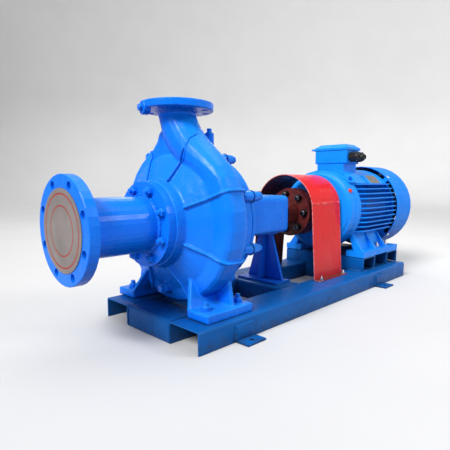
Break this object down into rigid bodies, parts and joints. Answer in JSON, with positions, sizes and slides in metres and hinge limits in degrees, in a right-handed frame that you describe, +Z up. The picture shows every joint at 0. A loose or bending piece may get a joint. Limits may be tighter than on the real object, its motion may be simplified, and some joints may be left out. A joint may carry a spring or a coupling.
{
  "type": "sewage pump set with volute pump, coupling guard and electric motor on a channel frame",
  "caption": "Horizontal volute sewage pump with suction spool, bearing bracket, guarded pin coupling and finned electric motor on a welded channel frame",
  "frame": {"origin": "on the floor, under the middle of the set's length and of the frame's width", "axes": "+X along the shaft from the suction flange towards the motor, +Z up, -Y towards the side seen in the picture"},
  "size_m": [1.7194, 0.5476, 0.67],
  "materials": {
    "pump_paint": "bright blue gloss enamel over rough castings",
    "frame_paint": "dark blue satin enamel over rolled steel",
    "guard_paint": "red satin paint",
    "coupling_paint": "brown red primer",
    "bright_steel": "turned steel",
    "cover_board": "matt grey board",
    "black_plastic": "matt black"
  },
  "bodies": {
    "pump_set": {"suction_spool": "pump_paint", "volute_casing": "pump_paint", "bearing_bracket": "pump_paint", "bearing_cover": "pump_paint", "bracket_stand": "pump_paint", "motor_frame": "pump_paint", "motor_front_shield": "pump_paint", "motor_rear_shield": "pump_paint", "fan_cowl": "pump_paint", "terminal_box": "pump_paint", "terminal_box_lid": "pump_paint", "rail_near": "frame_paint", "rail_far": "frame_paint", "cross_member_front": "frame_paint", "cross_member_stand": "frame_paint", "cross_member_motor": "frame_paint", "cross_member_rear": "frame_paint", "anchor_bracket_near_front": "frame_paint", "anchor_bracket_near_rear": "frame_paint", "anchor_bracket_far_front": "frame_paint", "anchor_bracket_far_rear": "frame_paint", "motor_riser_front": "frame_paint", "motor_riser_rear": "frame_paint", "coupling_guard": "guard_paint", "grease_cap": "bright_steel", "suction_cover_disc": "cover_board", "cable_gland_1": "black_plastic", "cable_gland_2": "black_plastic"},
    "rotor": {"pump_shaft": "bright_steel", "motor_shaft": "bright_steel", "coupling_pump_half": "coupling_paint", "coupling_motor_half": "coupling_paint", "motor_fan": "black_plastic", "coupling_pin_1": "bright_steel", "coupling_pin_2": "bright_steel", "coupling_pin_3": "bright_steel", "coupling_pin_4": "bright_steel", "coupling_pin_5": "bright_steel", "coupling_pin_6": "bright_steel", "coupling_pin_7": "bright_steel"}
  },
  "joints": [
    {"name": "shaft_spin", "type": "hinge", "parent": "pump_set", "child": "rotor", "pos_m": [0.07365, 0.0155, 0.32], "axis": [1, 0, 0], "continuous": true}
  ]
}
